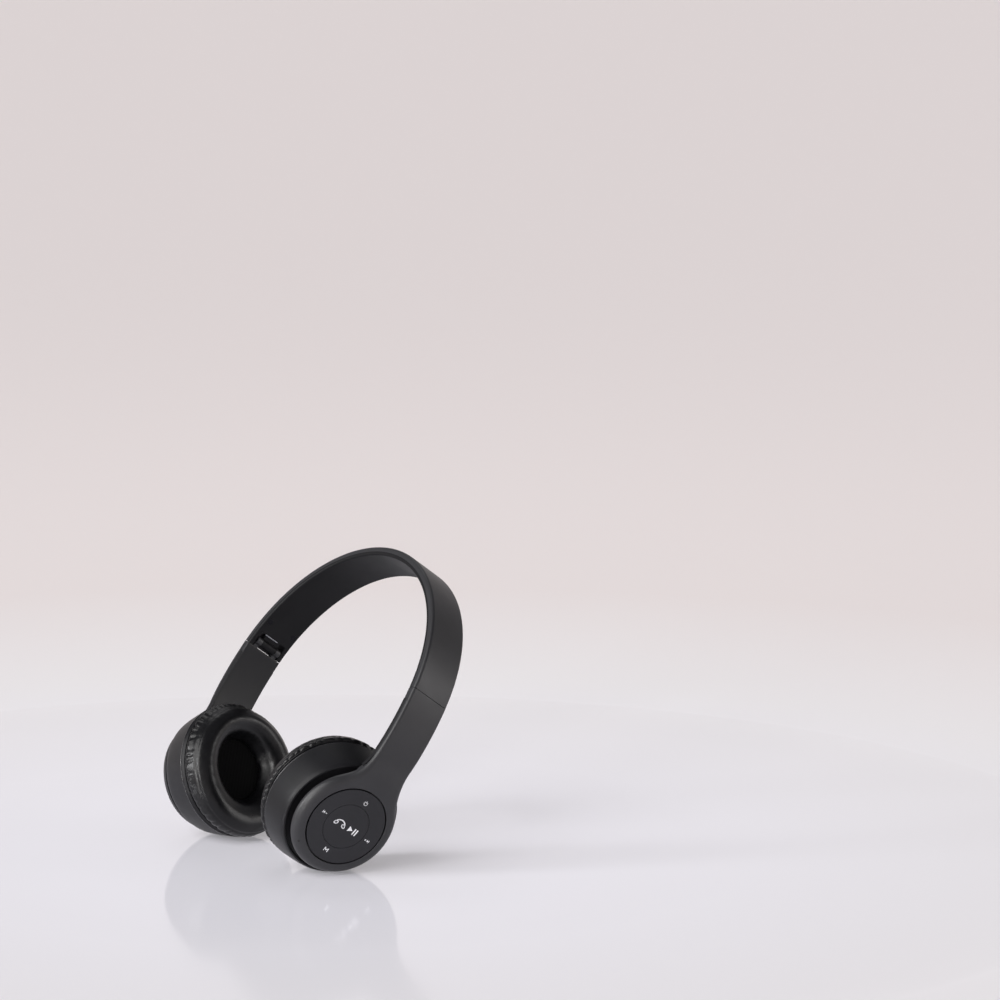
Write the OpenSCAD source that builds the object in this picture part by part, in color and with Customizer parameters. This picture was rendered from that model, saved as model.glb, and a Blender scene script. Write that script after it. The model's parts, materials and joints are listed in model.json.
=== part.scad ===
// Folding wireless over ear headphones, set down leaning back on the rims of both cups.
// Everything is drawn upright about the centre of the band's arc, then leaned and set on the floor.
// Band frame: X runs from ear to ear with the control cup at +X, Y runs across the band, Z is up.
// Cup frame: +Z is the depth from the control plate towards the ear, +X runs up the arm, +Y is the
// band's Y. The left side is the mirror image of the right.

/* [Pose] */
// Angle that the band leans back from upright as the headphones are set down
lean = 35.5; // [0:0.5:60]

/* [Headband] */
// Outer radius of the band's arc
band_r = 82; // [80:0.5:88]
// Width of the band
band_w = 23.8; // [23.8:0.1:26]
// Thickness of the band
band_t = 5; // [5:0.1:5.6]
// Angle from the crown to the seam between the band and an arm
seam_angle = 81.2; // [78:0.2:84]
// Radius of the rounded edges
edge_r = 1.6; // [0.6:0.1:1.8]
// Thickness of the outer shell's wall
wall = 1.3; // [1.2:0.05:1.4]
// Depth of the split line between the outer shell and the inner cover
split = 3.2; // [3.2:0.05:3.4]

/* [Arms] */
// Radius of an arm's outer surface, seen from the front
arm_r = 137; // [130:1:150]
// Thickness of an arm
arm_t = 4.5; // [4.3:0.1:4.8]
// Angle that the cups lean in from upright at their lower edges
cup_tilt = 21; // [18:0.5:24]
// Straight run from the end of the arm's curve to the middle of the plate
arm_foot = 7.3; // [5:0.1:10]
// Radius of the curve where an arm widens into its disc
flare_r = 30; // [24:1:36]

/* [Control disc] */
// Radius of the round control plate
plate_r = 21; // [20.5:0.1:21]
// Outer radius of the disc
disc_r = 27.85; // [27.6:0.05:28]
// Depth of the disc's rounded bevel
bevel = 4.6; // [4.4:0.1:4.6]
// Radius of the centre button
button_r = 12.3; // [12:0.1:12.4]

/* [Cups] */
// Outer radius of the housing at its back edge
back_r = 30.7; // [30.5:0.1:31]
// Outer radius of the housing at its widest
cup_r = 34.7; // [34.5:0.1:35]
// Depth of the housing's widest line
cup_h = 24.6; // [24.4:0.1:24.8]
// Outer radius of the ear cushion
cushion_r = 36.75; // [36:0.25:37.5]
// Radius of the hollow for the ear
hollow_r = 18; // [17.8:0.1:18.5]
// Depth of the cushion's front, from the plate
front_h = 41; // [40:0.5:42]

/* [Motion] */
// Length that each arm slides out of the band
slide_travel = 15; // [10:1:15]
// Radius of the hinge pin that an arm folds on
pin_r = 1; // [0.9:0.05:1.1]
// Radial clearance of a pin that turns in its bore
running = 0.05; // [0.02:0.01:0.08]
// Radius of the stub pins on the swivel ring
stub_r = 1.2; // [1:0.1:1.3]

/* [Hidden] */
$fn = 96;

// Colours
black_shell = [0.10, 0.10, 0.11];
black_cover = [0.07, 0.07, 0.08];
black_leather = [0.04, 0.04, 0.045];
black_cloth = [0.03, 0.03, 0.03];
foam_grey = [0.35, 0.35, 0.36];
steel = [0.66, 0.67, 0.69];
board_green = [0.05, 0.25, 0.12];
copper = [0.72, 0.45, 0.20];

// Half widths, and where an arm starts and ends on its curve
eps = 0.01;
mm_to_deg = 180 / PI;
half_w = band_w / 2;
arm_gap = 0.3;
arm_start = seam_angle + arm_gap / arm_r * mm_to_deg;
arm_end = 90 + cup_tilt;

// The middle of the control plate, and the centre of the arm's curve
arm_cx = (band_r - arm_r) * sin(seam_angle);
arm_cz = (band_r - arm_r) * cos(seam_angle);
plate_x = arm_cx + arm_r * sin(arm_end) + arm_foot * cos(arm_end);
plate_z = arm_cz + arm_r * cos(arm_end) - arm_foot * sin(arm_end);

// Strips that lie in the band's cavity
strip_out = band_r - 1.55;
strip_in = strip_out - 0.9;
strip_half = 4.4;
strip_end = 50;
bar_top = 57.5;
bar_foot = 78;
notch_r = 0.6;
notch_step = 1;
slide_turn = slide_travel / (strip_out + strip_in) * 2 * mm_to_deg;
wire_from = 4.9;
wire_to = 6.9;
wire_end = 74;
cavity_half = 10.4;

// Fold hinge, measured from the seam: inward, and up the band
pin_in = 4;
pin_up = 3.2;
knuckle_r = 2.2;
block_half = 4.9;
neck_half = 4.75;
lug_from = 5.1;
lug_to = 8.1;
recess_half = 9;
recess_top = 75;
neck_top = 75.5;
neck_foot = 78.9;
neck_out = band_r - 1.4;
neck_in = band_r - 3.8;
root_len = 6;
root_half = half_w - 0.1;

// Screws
shank_r = 0.7;
pilot_r = 0.72;
head_r = 1.5;
head_t = 0.8;
boss_r = 1.6;
band_screw_angle = 70;
band_screw_y = 8.7;
arm_screw_angles = [87, 97];
arm_screw_y = 8.5;
disc_screw_angles = [60, 180, 300];
disc_screw_ring = 22.2;

// Arm and disc layers, as depths
shell_depth = 2.4;
relief_from = 27.4;
relief_r = 32.2;
relief_h = 4.2;
disc_h = 4.9;
ledge_top = 2.3;
ledge_foot = 3.1;
ledge_r = 19.6;
pocket_r = plate_r + 0.25;
flat_r = 21.9;
board_t = 0.8;
disc_back_h = 5.7;
wire_hole = 4;

// Control plate parts, as depths
ring_t = 1.5;
button_t = 1.4;
pivot_h = 2.35;
pivot_r = 0.3;
pivot_from = 12.5;
pivot_to = 13.8;
lug_top = 1.87;
switch_ring = 15.5;
mic_angle = 218;
mic_ring = 25.2;
mic_r = 0.6;

// Swivel
swivel_h = 12;
swivel_in = 9.6;
swivel_out = 12.5;
swivel_half = 1.3;
stub_end = 15.2;
post_from = 13.1;
post_to = 15.5;
post_half = 2.4;
well_r = 18;
well_floor = 17;

// Cup layers, as depths
back_h = 9.4;
cup_wall = 1.6;
rim_h = 26.5;
rim_r = 33.8;
baffle_h = 26.3;
baffle_t = 1.5;
baffle_r = 28.6;
cushion_back = 27.9;
grille_r = 16.5;
baffle_screw_angles = [50, 170, 290];
baffle_screw_ring = 26.5;
baffle_post_r = 2.1;
driver_r = 20;
skin = 0.8;

// Ports, as angles round the control cup from the top of the arm
card_angle = 80;
usb_angle = 107;
aux_angle = 131;
light_angle = 119;
port_floor = 14;
aux_bore_r = 1.8;
aux_h = 17.2;

// Outline of a cup housing's side from its back edge to its rim, as [radius, depth]
side_from = 9;
function side_r(h) = back_r + (cup_r - back_r) * pow((h - side_from) / (cup_h - side_from), 0.8);
function side_outline(inset) = [
    for (h = [side_from:1.2:cup_h]) [side_r(h) - inset, h],
    [cup_r - inset, cup_h]
];

// Outline of the cushion, as [radius, depth], drawn in by the thickness of its skin
cushion_mid = 27.4;
bulge_h = 31.5;
function bend(cx, cy, rx, ry, from, to, n) = [
    for (i = [0:n]) let (a = from + (to - from) * i / n) [cx + rx * cos(a), cy + ry * sin(a)]
];
function cushion_outline(inset, foot) = concat(
    [[33.6 - inset, foot]],
    bend(33.6, bulge_h, cushion_r - 33.6 - inset, bulge_h - cushion_back, -80, -10, 5),
    bend(cushion_mid, bulge_h, cushion_r - cushion_mid - inset, front_h - bulge_h - inset, 0, 90, 14),
    bend(cushion_mid, 33, cushion_mid - hollow_r - inset, front_h - 33 - inset, 98, 180, 10),
    [[hollow_r + inset, foot]]
);

// How far a cup reaches from the band's centre in direction [y, z], from its outlines
cup_axis_z = sin(cup_tilt);
function cup_reach(y, z, outline) = let (along = z * cup_axis_z, across = sqrt(1 - along * along))
    max([for (p = outline) plate_z * z + p[1] * along + p[0] * across]);
cup_points = concat([[disc_r, bevel]], side_outline(0), cushion_outline(0, cushion_back));
crown_reach = (half_w - edge_r) * cos(lean) + (band_r - edge_r) * sin(lean) + edge_r;
front_reach = cup_reach(-cos(lean), -sin(lean), cup_points);
floor_reach = cup_reach(sin(lean), -cos(lean), cup_points);

// ---- placing ----

// Leans the upright headphones back and sets them on the floor, centred front to back
module set_down() {
    translate([0, (front_reach - crown_reach) / 2, floor_reach])
        rotate([-lean, 0, 0])
            children();
}

// Draws a right-hand piece on the side wanted
module on_side(side) {
    set_down()
        mirror([side == "left" ? 1 : 0, 0, 0])
            children();
}

// Sweeps a [radius, y] outline about Y, from angle a to angle b off the crown
module sweep(a, b) {
    rotate([0, a, 0])
        rotate([-90, -90, 0])
            rotate_extrude(angle = b - a, $fn = 180)
                children();
}

module swept_block(r_in, r_out, y_from, y_to, a, b) {
    sweep(a, b)
        translate([r_in, y_from])
            square([r_out - r_in, y_to - y_from]);
}

// Frame on the band's outer surface at an angle off the crown, with +Z outward
module on_band(a) {
    rotate([0, a, 0])
        translate([0, 0, band_r])
            children();
}

// Frame at the seam, with +X outward and +Z up the band
module at_seam() {
    rotate([0, seam_angle - 90, 0])
        translate([band_r, 0, 0])
            children();
}

// Frame at the centre of the arm's curve
module at_arm() {
    translate([arm_cx, 0, arm_cz])
        children();
}

// Cup frame
module at_cup() {
    translate([plate_x, 0, plate_z])
        rotate([0, cup_tilt, 0])
            rotate([0, -90, 0])
                children();
}

// A round bar along Y in the seam's frame
module seam_bar(r, y_from, y_to) {
    at_seam()
        translate([-pin_in, y_to, pin_up])
            rotate([90, 0, 0])
                cylinder(r = r, h = y_to - y_from, $fn = 48);
}

// A machine screw with its head's top at the origin and its shank along -Z
module screw(length) {
    translate([0, 0, -head_t])
        cylinder(r = head_r, h = head_t, $fn = 32);
    translate([0, 0, -length])
        cylinder(r = shank_r, h = length, $fn = 24);
}

// A ring about the cup's axis
module ring(r_in, r_out, h_from, h_to) {
    translate([0, 0, h_from])
        difference() {
            cylinder(r = r_out, h = h_to - h_from);
            translate([0, 0, -1])
                cylinder(r = r_in, h = h_to - h_from + 2);
        }
}

// ---- headband ----

// Half of a rounded rectangle's outline: outer corners from +y to -y at radius band_r
function band_top() = concat(
    bend(band_r - edge_r, half_w - edge_r, edge_r, edge_r, 90, 0, 6),
    bend(band_r - edge_r, -half_w + edge_r, edge_r, edge_r, 0, -90, 6)
);
function band_bottom() = concat(
    bend(band_r - band_t + 1.2, -half_w + 1.2, 1.2, 1.2, -90, -180, 5),
    bend(band_r - band_t + 1.2, half_w - 1.2, 1.2, 1.2, 180, 90, 5)
);

module band_screw_places() {
    for (a = [-band_screw_angle, band_screw_angle], y = [-band_screw_y, band_screw_y])
        on_band(a)
            translate([0, y, 0])
                children();
}

module band_outer_shell() {
    color(black_shell)
        set_down()
            difference() {
                union() {
                    sweep(-seam_angle, seam_angle)
                        polygon(concat(
                            band_top(),
                            [[band_r - split, -half_w], [band_r - split, -cavity_half]],
                            [[band_r - wall, -cavity_half], [band_r - wall, cavity_half]],
                            [[band_r - split, cavity_half], [band_r - split, half_w]]
                        ));
                    band_screw_places()
                        translate([0, 0, -split])
                            cylinder(r = boss_r, h = split - wall / 2, $fn = 32);
                }
                band_screw_places()
                    translate([0, 0, -split - 1])
                        cylinder(r = pilot_r, h = 2.8, $fn = 24);
            }
}

module band_inner_cover() {
    color(black_cover)
        set_down()
            difference() {
                sweep(-seam_angle, seam_angle)
                    polygon(concat(
                        [[band_r - split, -half_w]],
                        band_bottom(),
                        [[band_r - split, half_w]]
                    ));
                for (a = [-seam_angle - 1, recess_top])
                    swept_block(band_r - band_t - 1, band_r - 1, -recess_half, recess_half,
                        a, a + seam_angle + 1 - recess_top);
                band_screw_places() {
                    translate([0, 0, -band_t - 1])
                        cylinder(r = shank_r + 0.1, h = band_t, $fn = 24);
                    translate([0, 0, -band_t - 1])
                        cylinder(r = head_r + 0.1, h = head_t + 1, $fn = 32);
                }
            }
}

module spring_strip() {
    color(steel)
        set_down()
            swept_block(strip_in, strip_out, -strip_half, strip_half, -strip_end, strip_end);
}

module band_wires() {
    color(copper)
        set_down()
            swept_block(strip_in, strip_out, wire_from, wire_to, -wire_end, wire_end);
}

module band_screws() {
    color(steel)
        set_down()
            band_screw_places()
                translate([0, 0, -band_t])
                    mirror([0, 0, 1])
                        screw(3.2);
}

// ---- slider and fold hinge ----

module slider_bar(side) {
    color(steel)
        on_side(side)
            difference() {
                swept_block(strip_in, strip_out, -strip_half, strip_half, bar_top, bar_foot);
                for (a = [notch_step:notch_step:slide_turn], y = [-strip_half, strip_half])
                    on_band(bar_top + a)
                        translate([0, y, -3])
                            cylinder(r = notch_r, h = 3, $fn = 20);
            }
}

module hinge_block(side) {
    color(black_cover)
        on_side(side)
            difference() {
                union() {
                    seam_bar(knuckle_r, -block_half, block_half);
                    swept_block(neck_in, neck_out, -neck_half, neck_half, neck_top, neck_foot);
                }
                seam_bar(pin_r, -block_half - 1, block_half + 1);
                swept_block(strip_in, strip_out, -strip_half, strip_half, neck_top - 1, bar_foot);
            }
}

module hinge_pin(side) {
    color(steel)
        on_side(side)
            seam_bar(pin_r, -lug_to - 0.1, lug_to + 0.1);
}

// ---- arms ----

// The arm seen square on, from the disc's centre at the origin, widening until it meets the disc
module arm_plan() {
    flare_x = sqrt(pow(disc_r + flare_r, 2) - pow(half_w + flare_r, 2));
    meet = atan2(half_w + flare_r, flare_x);
    polygon(concat(
        [[0, 0]],
        bend(flare_x, -half_w - flare_r, flare_r, flare_r, 180 - meet, 90, 12),
        [[90, -half_w], [90, half_w]],
        bend(flare_x, half_w + flare_r, flare_r, flare_r, 270, 180 + meet, 12)
    ));
}

// A layer of the arm between two depths, cut to the arm's plan
module arm_layer(d_from, d_to) {
    intersection() {
        union() {
            at_arm()
                swept_block(arm_r - d_to, arm_r - d_from, -disc_r - 2, disc_r + 2,
                    arm_start, arm_end + 0.2);
            at_cup()
                translate([0, -disc_r - 2, d_from])
                    cube([arm_foot, disc_r * 2 + 4, d_to - d_from]);
        }
        at_cup()
            translate([0, 0, -20])
                linear_extrude(60)
                    arm_plan();
    }
}

module arm_screw_places() {
    for (a = arm_screw_angles, y = [-arm_screw_y, arm_screw_y])
        at_arm()
            rotate([0, a, 0])
                translate([0, y, arm_r - arm_t])
                    mirror([0, 0, 1])
                        children();
}

module disc_screw_places() {
    for (a = disc_screw_angles)
        at_cup()
            rotate([0, 0, a])
                translate([disc_screw_ring, 0, 0])
                    children();
}

module disc_cap() {
    at_cup()
        rotate_extrude()
            polygon(concat(
                [[0, 0], [flat_r, 0]],
                bend(flat_r, bevel, disc_r - flat_r, bevel, -85, 0, 12),
                [[disc_r, disc_h], [0, disc_h]]
            ));
}

module disc_cavity() {
    at_cup()
        rotate_extrude()
            polygon([
                [0, -1], [pocket_r, -1], [pocket_r, ledge_top], [ledge_r, ledge_top],
                [ledge_r, ledge_foot], [23.3, ledge_foot], [26.2, disc_h], [26.2, 9], [0, 9]
            ]);
}

module arm_lugs() {
    difference() {
        for (s = [-1, 1])
            union() {
                seam_bar(knuckle_r, min(s * lug_from, s * lug_to), max(s * lug_from, s * lug_to));
                at_seam()
                    translate([-arm_t, min(s * lug_from, s * lug_to), -1])
                        cube([2.6, lug_to - lug_from, pin_up + 1]);
            }
        seam_bar(pin_r + running, -lug_to - 1, lug_to + 1);
    }
}

module arm_shell(side) {
    color(black_shell)
        on_side(side) {
            difference() {
                union() {
                    arm_layer(0, shell_depth);
                    at_arm()
                        swept_block(arm_r - arm_t, arm_r - shell_depth / 2, -root_half, root_half,
                            arm_start, arm_start + root_len / arm_r * mm_to_deg);
                    disc_cap();
                }
                disc_cavity();
                at_cup()
                    ring(relief_from, relief_r, relief_h, 20);
                arm_screw_places()
                    translate([0, 0, -3.6])
                        cylinder(r = pilot_r, h = 3, $fn = 24);
                if (side == "right")
                    mic_place()
                        cylinder(r = mic_r, h = 12, center = true, $fn = 24);
            }
            arm_lugs();
        }
}

module arm_cover(side) {
    color(black_cover)
        on_side(side)
            difference() {
                arm_layer(shell_depth, arm_t);
                at_arm()
                    swept_block(arm_r - 9, arm_r, -half_w - 1, half_w + 1,
                        arm_start - 1, arm_start + (root_len + 0.3) / arm_r * mm_to_deg);
                at_cup()
                    translate([0, 0, -10])
                        cylinder(r = relief_r + 0.6, h = 40);
                at_arm()
                    swept_block(arm_r - 3.4, arm_r, -5, 5, arm_start + 4, arm_end);
                arm_screw_places() {
                    translate([0, 0, -4])
                        cylinder(r = shank_r + 0.1, h = 5, $fn = 24);
                    translate([0, 0, -head_t - 0.05])
                        cylinder(r = head_r + 0.1, h = 3, $fn = 32);
                }
            }
}

module disc_back(side) {
    color(black_cover)
        on_side(side)
            difference() {
                union() {
                    at_cup()
                        rotate_extrude()
                            polygon([
                                [0, 4.3], [24.2, 4.3], [25.4, disc_h], [27.2, disc_h],
                                [18.5, disc_back_h], [0, disc_back_h]
                            ]);
                    at_cup()
                        for (s = [0, 180])
                            rotate([0, 0, s])
                                translate([post_from, -post_half, disc_h])
                                    cube([post_to - post_from, post_half * 2, 9.1]);
                }
                at_cup() {
                    cylinder(r = wire_hole, h = 40, center = true, $fn = 48);
                    translate([0, 0, swivel_h])
                        rotate([0, 90, 0])
                            cylinder(r = stub_r + running, h = 40, center = true, $fn = 48);
                }
                disc_screw_places() {
                    cylinder(r = shank_r + 0.1, h = 10, $fn = 24);
                    translate([0, 0, disc_h - 0.3])
                        cylinder(r = head_r + 0.1, h = 3, $fn = 32);
                }
            }
}

module arm_screws(side) {
    color(steel)
        on_side(side) {
            arm_screw_places()
                screw(3.4);
            disc_screw_places()
                translate([0, 0, disc_h - 0.3 + head_t])
                    screw(1.6);
        }
}

// ---- control plate ----

module mic_place() {
    at_cup()
        rotate([0, 0, mic_angle])
            translate([mic_ring, 0, 2.1])
                rotate([0, 36, 0])
                    children();
}

module control_plate_pins(r, reach) {
    for (a = [0, 90])
        at_cup()
            translate([0, 0, pivot_h])
                rotate([0, 0, a])
                    rotate([0, 90, 0])
                        cylinder(r = r, h = reach * 2, center = true, $fn = 24);
}

module keypad_base() {
    color(board_green)
        on_side("right")
            difference() {
                at_cup() {
                    translate([0, 0, ledge_foot])
                        cylinder(r = 23, h = board_t);
                    for (a = [90, 270])
                        rotate([0, 0, a])
                            translate([pivot_from + 0.1, -0.8, lug_top])
                                cube([pivot_to - pivot_from - 0.1, 1.6, ledge_foot - lug_top + eps]);
                }
                control_plate_pins(pivot_r + running, 14);
                disc_screw_places()
                    cylinder(r = shank_r + 0.2, h = 10, $fn = 24);
            }
}

module tact_switches() {
    color(steel)
        on_side("right")
            at_cup() {
                for (a = [0:90:270])
                    rotate([0, 0, a])
                        translate([switch_ring, 0, 0])
                            tact_switch();
                tact_switch();
            }
}

module tact_switch() {
    translate([-1.6, -1.6, 2.35])
        cube([3.2, 3.2, ledge_foot - 2.35]);
    translate([0, 0, 1.95])
        cylinder(r = 0.8, h = 0.5, $fn = 24);
}

module microphone() {
    color(black_cloth)
        on_side("right")
            mic_place()
                translate([0, 0, -0.1])
                    cylinder(r = mic_r, h = 1.1, $fn = 24);
}

// A small ring that lets the control ring rock up and down and from side to side
module rocker_frame() {
    color(foam_grey)
        on_side("right")
            difference() {
                union() {
                    at_cup()
                        ring(9.6, 11.2, pivot_h - 0.3, pivot_h + 0.3);
                    control_plate_pins(pivot_r, pivot_to - 0.2);
                }
                at_cup()
                    cylinder(r = 10, h = 10);
            }
}

module control_ring() {
    color(black_cover)
        on_side("right")
            difference() {
                at_cup() {
                    ring(button_r + 0.2, plate_r - 0.05, 0, ring_t);
                    for (a = [0, 180])
                        rotate([0, 0, a])
                            translate([pivot_from, -0.8, ring_t - eps])
                                cube([pivot_to - pivot_from, 1.6, 2.8 - ring_t]);
                }
                control_plate_pins(pivot_r + running, 14);
            }
}

module centre_button() {
    color(black_cover)
        on_side("right")
            at_cup() {
                cylinder(r = button_r, h = button_t);
                cylinder(r = 2, h = button_t + 0.15, $fn = 32);
            }
}

module cap_plate_left() {
    color(black_cover)
        on_side("left")
            at_cup()
                cylinder(r = plate_r, h = ledge_top);
}

// ---- swivel ----

module swivel_ring(side) {
    color(foam_grey)
        on_side(side)
            at_cup() {
                ring(swivel_in, swivel_out, swivel_h - swivel_half, swivel_h + swivel_half);
                for (a = [0:90:270])
                    rotate([0, 0, a])
                        translate([swivel_out - 0.6, 0, swivel_h])
                            rotate([0, 90, 0])
                                cylinder(r = stub_r, h = stub_end - swivel_out + 0.6, $fn = 48);
            }
}

// ---- cups ----

module baffle_screw_places() {
    for (a = baffle_screw_angles)
        rotate([0, 0, a])
            translate([baffle_screw_ring, 0, 0])
                children();
}

// Places something on the side wall of the control cup, with +Z along the radius outward and
// +X towards the ear
module on_rim(angle, h) {
    rotate([0, 0, angle])
        translate([0, 0, h])
            rotate([0, 90, 0])
                mirror([1, 0, 0])
                    children();
}

module cup_housing(side) {
    color(black_shell)
        on_side(side)
            at_cup()
                difference() {
                    union() {
                        rotate_extrude()
                            polygon(concat(
                                [[well_r, back_h], [28.9, back_h], [29.2, 8.5], [29.6, 8.25]],
                                [[30.3, 8.35]],
                                side_outline(0),
                                [[rim_r, rim_h], [rim_r - cup_wall, rim_h]],
                                [for (i = [13:-1:2]) side_outline(cup_wall)[i]],
                                [[28.4, back_h + cup_wall], [well_r + 1.4, back_h + cup_wall]],
                                [[well_r + 1.4, well_floor + 1.4], [4, well_floor + 1.4]],
                                [[4, well_floor], [well_r, well_floor]]
                            ));
                        for (a = [90, 270])
                            rotate([0, 0, a])
                                translate([post_from, -post_half, 10.2])
                                    cube([well_r + 0.5 - post_from, post_half * 2, 7.2]);
                        baffle_screw_places()
                            translate([0, 0, back_h + 1])
                                cylinder(r = baffle_post_r, h = baffle_h - back_h - 1, $fn = 32);
                    }
                    translate([0, 0, swivel_h])
                        rotate([90, 0, 0])
                            cylinder(r = stub_r + running, h = 35, center = true, $fn = 48);
                    baffle_screw_places()
                        translate([0, 0, baffle_h - 8])
                            cylinder(r = pilot_r, h = 10, $fn = 24);
                    if (side == "right")
                        port_holes();
                }
}

// The openings in the control cup's side for the ports
module port_holes() {
    on_rim(aux_angle, aux_h)
        translate([0, 0, 29])
            cylinder(r = 3, h = 10, $fn = 48);
    on_rim(usb_angle, port_floor)
        translate([0, -4.6, 29])
            cube([3.3, 9.2, 10]);
    on_rim(card_angle, port_floor)
        translate([0.2, -5.8, 29])
            cube([1.2, 11.6, 10]);
    on_rim(light_angle, port_floor + 1)
        translate([0, 0, 29])
            cylinder(r = 0.8, h = 10, $fn = 24);
}

module baffle(side) {
    color(black_cover)
        on_side(side)
            at_cup()
                difference() {
                    translate([0, 0, baffle_h])
                        cylinder(r = baffle_r, h = baffle_t);
                    translate([0, 0, baffle_h - 1])
                        linear_extrude(baffle_t + 2)
                            grille_gaps();
                    baffle_screw_places() {
                        cylinder(r = shank_r + 0.1, h = 40, $fn = 24);
                        translate([0, 0, baffle_h + baffle_t - head_t])
                            cylinder(r = head_r + 0.1, h = 3, $fn = 32);
                    }
                }
}

// The gaps of the grille in front of the driver: two rings cut by six spokes
module grille_gaps() {
    difference() {
        circle(r = grille_r);
        difference() {
            circle(r = 9);
            circle(r = 8);
        }
        for (a = [0:60:120])
            rotate(a)
                square([grille_r * 3, 1.2], center = true);
    }
}

module baffle_screws(side) {
    color(steel)
        on_side(side)
            at_cup()
                baffle_screw_places()
                    translate([0, 0, baffle_h + baffle_t])
                        screw(6);
}

module driver_frame(side) {
    color(foam_grey)
        on_side(side)
            at_cup()
                rotate_extrude()
                    polygon([
                        [driver_r, baffle_h], [driver_r, 24.8], [18.6, 24.6], [18.6, 22.6],
                        [9.2, 22.6], [9.2, 23.4], [17.8, 23.4], [17.8, baffle_h]
                    ]);
}

module driver_magnet(side) {
    color(steel)
        on_side(side)
            at_cup()
                rotate_extrude()
                    polygon([
                        [0, 19.6], [9.1, 19.6], [9.1, 23.4], [6.9, 23.4], [6.9, 21.2],
                        [5.4, 21.2], [5.4, 23.4], [0, 23.4]
                    ]);
}

module driver_diaphragm(side) {
    color(copper)
        on_side(side)
            at_cup()
                rotate_extrude()
                    polygon([
                        [17.7, 25.6], [12, 25.9], [6.5, 24.6], [3.5, 25.5], [0, 25.8],
                        [0, 25.5], [3.4, 25.2], [5.8, 24.2], [5.8, 22], [6.4, 22],
                        [6.4, 24.2], [12, 25.6], [17.7, 25.3]
                    ]);
}

module ear_scrim(side) {
    color(black_cloth)
        on_side(side)
            at_cup()
                translate([0, 0, baffle_h + baffle_t])
                    cylinder(r = hollow_r - 0.2, h = 0.5);
}

module cushion_ring(side) {
    color(black_cover)
        on_side(side)
            at_cup()
                ring(baffle_r + 0.2, rim_r - 0.4, rim_h, cushion_back - 0.1);
}

module cushion_foam(side) {
    color(foam_grey)
        on_side(side)
            at_cup()
                rotate_extrude()
                    polygon(cushion_outline(skin, cushion_back));
}

module cushion_cover(side) {
    color(black_leather)
        on_side(side)
            at_cup()
                rotate_extrude()
                    difference() {
                        polygon(cushion_outline(0, cushion_back));
                        polygon(cushion_outline(skin, cushion_back - 1));
                    }
}

// ---- electronics ----

module main_board() {
    color(board_green)
        on_side("right")
            at_cup()
                translate([0, 0, port_floor - 1])
                    rotate([0, 0, 60])
                        rotate_extrude(angle = 90)
                            translate([20.2, 0])
                                square([9.3, 1]);
}

module usb_port() {
    color(steel)
        on_side("right")
            at_cup()
                on_rim(usb_angle, port_floor)
                    difference() {
                        translate([0, -4.5, 24.6])
                            cube([3.2, 9, 7.6]);
                        difference() {
                            translate([0.35, -4.15, 25.6])
                                cube([2.5, 8.3, 8]);
                            translate([1.2, -3.3, 25])
                                cube([0.8, 6.6, 6]);
                        }
                    }
}

// The socket: a blind bore that flares into the lead-in of its collar
module aux_jack() {
    color(black_cover)
        on_side("right")
            at_cup()
                on_rim(aux_angle, aux_h)
                    difference() {
                        union() {
                            translate([-3.2, -3.2, 20.4])
                                cube([6.4, 6.4, 9.9]);
                            translate([0, 0, 30])
                                cylinder(r = 2.9, h = 2.9, $fn = 48);
                        }
                        translate([0, 0, 20.9])
                            cylinder(r = aux_bore_r, h = 9.9, $fn = 48);
                        translate([0, 0, 30.4])
                            cylinder(r1 = aux_bore_r - 0.05, r2 = 2.4, h = 2.7, $fn = 48);
                    }
}

module card_slot() {
    color(steel)
        on_side("right")
            at_cup()
                on_rim(card_angle, port_floor)
                    difference() {
                        translate([0, -6.3, 20.2])
                            cube([1.6, 12.6, 9.5]);
                        translate([0.3, -5.6, 21])
                            cube([1, 11.2, 20]);
                    }
}

module status_light() {
    color([0.75, 0.8, 0.85])
        on_side("right")
            at_cup()
                on_rim(light_angle, port_floor + 1)
                    translate([0, 0, 28.8])
                        cylinder(r = 0.75, h = 3.7, $fn = 24);
}

module battery() {
    color([0.55, 0.56, 0.6])
        on_side("left")
            at_cup()
                rotate([0, 0, 110])
                    translate([20.2, -11.5, back_h + cup_wall + 0.2])
                        cube([7, 23, 12]);
}

band_outer_shell();
band_inner_cover();
spring_strip();
band_wires();
band_screws();
slider_bar("right");  // slider_bar_right
hinge_block("right");  // hinge_block_right
hinge_pin("right");  // hinge_pin_right
slider_bar("left");  // slider_bar_left
hinge_block("left");  // hinge_block_left
hinge_pin("left");  // hinge_pin_left
arm_shell("right");  // arm_shell_right
arm_cover("right");  // arm_cover_right
disc_back("right");  // disc_back_right
arm_screws("right");  // arm_screws_right
arm_shell("left");  // arm_shell_left
arm_cover("left");  // arm_cover_left
disc_back("left");  // disc_back_left
arm_screws("left");  // arm_screws_left
keypad_base();
tact_switches();
microphone();
rocker_frame();
control_ring();
centre_button();
cap_plate_left();
swivel_ring("right");  // swivel_ring_right
swivel_ring("left");  // swivel_ring_left
cup_housing("right");  // cup_housing_right
baffle("right");  // baffle_right
baffle_screws("right");  // baffle_screws_right
driver_frame("right");  // driver_frame_right
driver_magnet("right");  // driver_magnet_right
driver_diaphragm("right");  // driver_diaphragm_right
ear_scrim("right");  // ear_scrim_right
cushion_ring("right");  // cushion_ring_right
cushion_foam("right");  // cushion_foam_right
cushion_cover("right");  // cushion_cover_right
cup_housing("left");  // cup_housing_left
baffle("left");  // baffle_left
baffle_screws("left");  // baffle_screws_left
driver_frame("left");  // driver_frame_left
driver_magnet("left");  // driver_magnet_left
driver_diaphragm("left");  // driver_diaphragm_left
ear_scrim("left");  // ear_scrim_left
cushion_ring("left");  // cushion_ring_left
cushion_foam("left");  // cushion_foam_left
cushion_cover("left");  // cushion_cover_left
main_board();
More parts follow.
